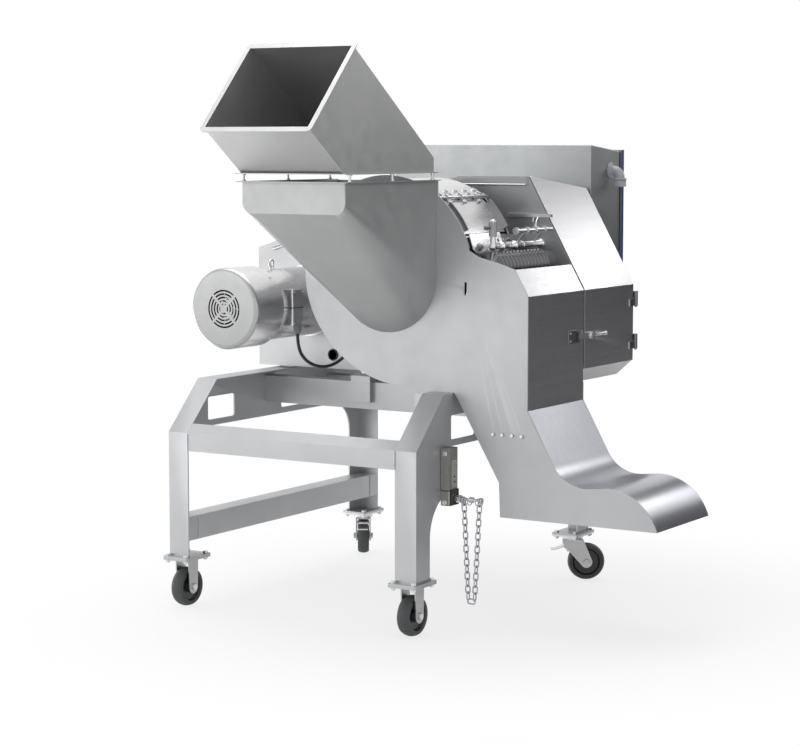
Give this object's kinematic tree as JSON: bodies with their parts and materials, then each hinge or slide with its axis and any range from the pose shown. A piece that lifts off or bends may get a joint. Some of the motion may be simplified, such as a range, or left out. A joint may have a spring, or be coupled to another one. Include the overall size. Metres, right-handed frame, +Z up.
{
  "type": "industrial dicing machine",
  "caption": "Stainless industrial dicer on casters: stacked hoppers feed an impeller behind a large side plate, with knives, a discharge chute, a motor, a drive housing and a rear enclosure.",
  "frame": {"origin": "on the floor straight below the impeller axis, in the plane of the front face of the large side plate", "axes": "+X towards the discharge side, +Y towards the drive and the rear enclosure, +Z up"},
  "size_m": [1.6884, 1.699, 1.7863],
  "materials": {
    "satin_steel": "bead-blasted stainless sheet",
    "chute_steel": "brushed stainless sheet",
    "motor_steel": "satin stainless",
    "bright_steel": "bright zinc-like steel",
    "machined_steel": "turned steel",
    "knife_steel": "ground and polished",
    "cast_pulley": "turned casting",
    "wheel_black": "black nylon wheel with a grey tread band",
    "belt_rubber": "toothed belt back",
    "cable_black": "cable sheath",
    "seal_black": "foam seal",
    "grey_plastic": "grey moulded fitting",
    "panel_parts": "painted mounting plate with plain switch boxes"
  },
  "bodies": {
    "machine": {"bearings": "cast_pulley", "belt_tension_plate": "satin_steel", "cable_glands": "grey_plastic", "caster_bolts": "bright_steel", "chute_top_sheet": "chute_steel", "control_panel": "panel_parts", "cross_channels": "satin_steel", "door_hinges": "satin_steel", "drive_belts": "belt_rubber", "drive_housing": "satin_steel", "enclosure": "satin_steel", "front_axles": "bright_steel", "front_beam": "satin_steel", "front_forks": "bright_steel", "gate_strip": "satin_steel", "hood_face": "chute_steel", "hopper_spacers": "bright_steel", "housing_rests": "satin_steel", "impeller_case": "satin_steel", "interlock_box": "bright_steel", "interlock_chain": "bright_steel", "junction_box": "motor_steel", "left_side_frame": "satin_steel", "low_side_beam": "satin_steel", "lower_hopper": "satin_steel", "lower_sheets": "satin_steel", "motor_body": "motor_steel", "motor_cable": "cable_black", "motor_cowl": "motor_steel", "right_side_frame": "satin_steel", "rinse_pipe": "bright_steel", "side_plate": "satin_steel", "slice_knife": "knife_steel", "supply_elbow": "grey_plastic", "swivel_races": "bright_steel", "upper_hopper": "satin_steel"},
    "front_left_wheel": {"front_left_wheel": "wheel_black"},
    "front_right_wheel": {"front_right_wheel": "wheel_black"},
    "rear_left_swivel": {"rear_left_fork": "bright_steel"},
    "rear_left_wheel": {"rear_left_wheel": "wheel_black"},
    "rear_left_brake": {"rear_left_brake_pedal": "bright_steel"},
    "rear_right_swivel": {"rear_right_fork": "bright_steel"},
    "rear_right_wheel": {"rear_right_wheel": "wheel_black"},
    "rear_right_brake": {"rear_right_brake_pedal": "bright_steel"},
    "impeller": {"impeller": "satin_steel", "main_shaft": "machined_steel", "main_pulleys": "cast_pulley"},
    "motor_rotor": {"motor_rotor": "machined_steel", "motor_pulley": "cast_pulley"},
    "circular_knives": {"circular_knife_spindle": "knife_steel", "spindle_pulley_and_gear": "machined_steel"},
    "crosscut_knives": {"crosscut_spindle": "knife_steel"},
    "slice_gate": {"slice_gate": "satin_steel"},
    "drive_door": {"drive_door": "satin_steel"},
    "door_latch": {"door_latch": "bright_steel"},
    "enclosure_door": {"enclosure_door": "satin_steel", "door_seal": "seal_black"},
    "enclosure_lock": {"enclosure_lock": "bright_steel"},
    "interlock_knob": {"interlock_knob": "bright_steel"}
  },
  "joints": [
    {"name": "front_left_wheel_roll", "type": "hinge", "parent": "machine", "child": "front_left_wheel", "pos_m": [-0.655, -0.18, 0.0635], "axis": [1, 0, 0], "continuous": true},
    {"name": "front_right_wheel_roll", "type": "hinge", "parent": "machine", "child": "front_right_wheel", "pos_m": [0.205, -0.18, 0.0635], "axis": [1, 0, 0], "continuous": true},
    {"name": "rear_left_swivel_turn", "type": "hinge", "parent": "machine", "child": "rear_left_swivel", "pos_m": [-0.655, 0.873, 0.13], "axis": [0, 0, 1], "continuous": true},
    {"name": "rear_left_wheel_roll", "type": "hinge", "parent": "rear_left_swivel", "child": "rear_left_wheel", "pos_m": [-0.67885, 0.91116, 0.0635], "axis": [0.848, 0.5299, 0], "continuous": true},
    {"name": "rear_left_brake_press", "type": "hinge", "parent": "rear_left_swivel", "child": "rear_left_brake", "pos_m": [-0.64175, 0.8518, 0.12], "axis": [0.848, 0.5299, 0], "range_deg": [0, 12]},
    {"name": "rear_right_swivel_turn", "type": "hinge", "parent": "machine", "child": "rear_right_swivel", "pos_m": [0.205, 0.873, 0.13], "axis": [0, 0, 1], "continuous": true},
    {"name": "rear_right_wheel_roll", "type": "hinge", "parent": "rear_right_swivel", "child": "rear_right_wheel", "pos_m": [0.24316, 0.89685, 0.0635], "axis": [0.5299, -0.848, 0], "continuous": true},
    {"name": "rear_right_brake_press", "type": "hinge", "parent": "rear_right_swivel", "child": "rear_right_brake", "pos_m": [0.1838, 0.85975, 0.12], "axis": [0.5299, -0.848, 0], "range_deg": [0, 12]},
    {"name": "impeller_spin", "type": "hinge", "parent": "machine", "child": "impeller", "pos_m": [0, 0.3, 1.089], "axis": [0, 1, 0], "continuous": true},
    {"name": "motor_spin", "type": "hinge", "parent": "machine", "child": "motor_rotor", "pos_m": [-0.543, 0.3, 0.966], "axis": [0, 1, 0], "continuous": true},
    {"name": "circular_knife_spin", "type": "hinge", "parent": "machine", "child": "circular_knives", "pos_m": [0.358, 0.3, 1.118], "axis": [0, 1, 0], "continuous": true},
    {"name": "crosscut_knife_spin", "type": "hinge", "parent": "machine", "child": "crosscut_knives", "pos_m": [0.37962, 0.3, 1.01627], "axis": [0, 1, 0], "continuous": true},
    {"name": "slice_gate_swing", "type": "hinge", "parent": "machine", "child": "slice_gate", "pos_m": [0.18778, 0.15, 1.32934], "axis": [0, -1, 0], "range_deg": [0, 8]},
    {"name": "drive_door_swing", "type": "hinge", "parent": "machine", "child": "drive_door", "pos_m": [0.5075, 0.723, 0.9], "axis": [0, 0, 1], "range_deg": [0, 110]},
    {"name": "door_latch_turn", "type": "hinge", "parent": "drive_door", "child": "door_latch", "pos_m": [0.515, 0.398, 0.893], "axis": [1, 0, 0], "range_deg": [0, 90]},
    {"name": "enclosure_door_swing", "type": "hinge", "parent": "machine", "child": "enclosure_door", "pos_m": [-0.4425, 0.96, 1.17], "axis": [0, 0, 1], "range_deg": [0, 120]},
    {"name": "enclosure_lock_turn", "type": "hinge", "parent": "enclosure_door", "child": "enclosure_lock", "pos_m": [0.296, 0.98, 1.1715], "axis": [0, 1, 0], "range_deg": [0, 90]},
    {"name": "interlock_knob_turn", "type": "hinge", "parent": "machine", "child": "interlock_knob", "pos_m": [0.29, -0.048, 0.412], "axis": [1, 0, 0], "range_deg": [0, 90]}
  ],
  "couplings": [
    {"joint": "motor_spin", "follows": "impeller_spin", "ratio": 3},
    {"joint": "circular_knife_spin", "follows": "impeller_spin", "ratio": 3},
    {"joint": "crosscut_knife_spin", "follows": "impeller_spin", "ratio": -3}
  ]
}
